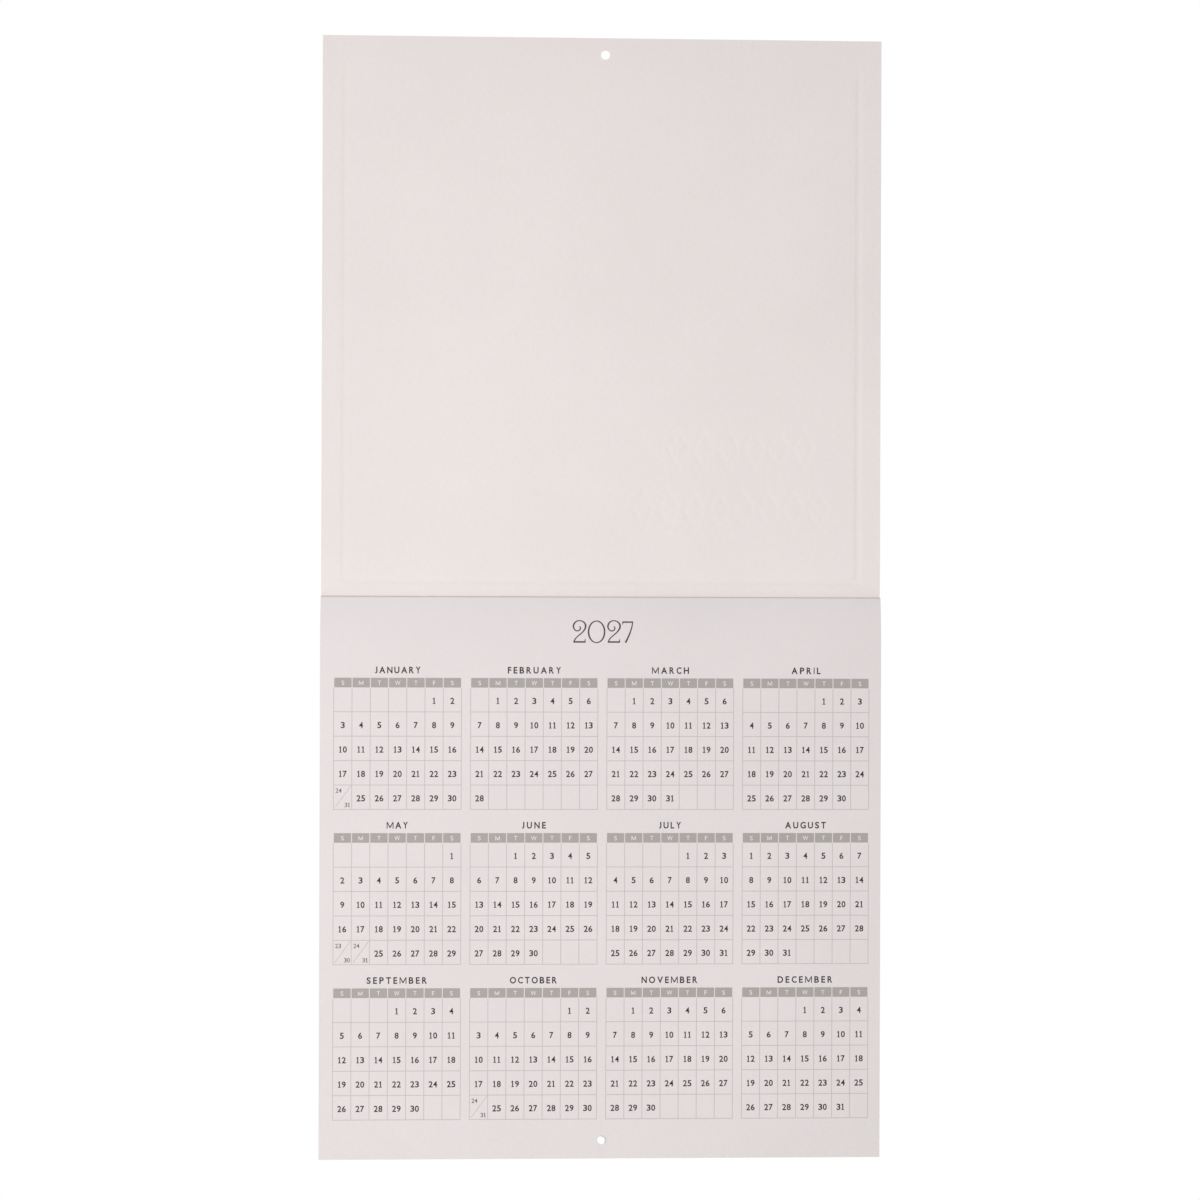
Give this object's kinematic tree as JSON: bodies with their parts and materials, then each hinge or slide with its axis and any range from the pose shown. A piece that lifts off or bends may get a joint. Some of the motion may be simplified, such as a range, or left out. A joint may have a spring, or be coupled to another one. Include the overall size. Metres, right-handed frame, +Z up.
{
  "type": "wall calendar",
  "caption": "Square saddle-stitched wall calendar, hanging open at a year overview page, with a hinged cover card and a hinged block of pages.",
  "frame": {"origin": "centre of the hanging hole, on the back face of the front cover", "axes": "+Z up along the calendar's length, +X to the right across the leaves seen from the front, front facing -Y, wall at +Y"},
  "size_m": [0.3048, 0.0069, 0.6096],
  "materials": {
    "cover_card": "smooth uncoated card, faintly pink white",
    "page_paper": "matt coated paper, warm white with grey print",
    "staple_wire": "bright drawn wire"
  },
  "bodies": {
    "front_cover": {"front_cover": "cover_card"},
    "back_cover": {"back_cover": "cover_card", "staple_left": "staple_wire", "staple_right": "staple_wire"},
    "pages": {"pages": "page_paper"}
  },
  "joints": [
    {"name": "cover_hinge", "type": "hinge", "parent": "front_cover", "child": "back_cover", "pos_m": [0, -0.00285, -0.2956], "axis": [-1, 0, 0], "range_deg": [0, 179.9]},
    {"name": "pages_hinge", "type": "hinge", "parent": "back_cover", "child": "pages", "pos_m": [0, -0.00285, -0.2956], "axis": [-1, 0, 0], "range_deg": [0, 179.9]}
  ]
}
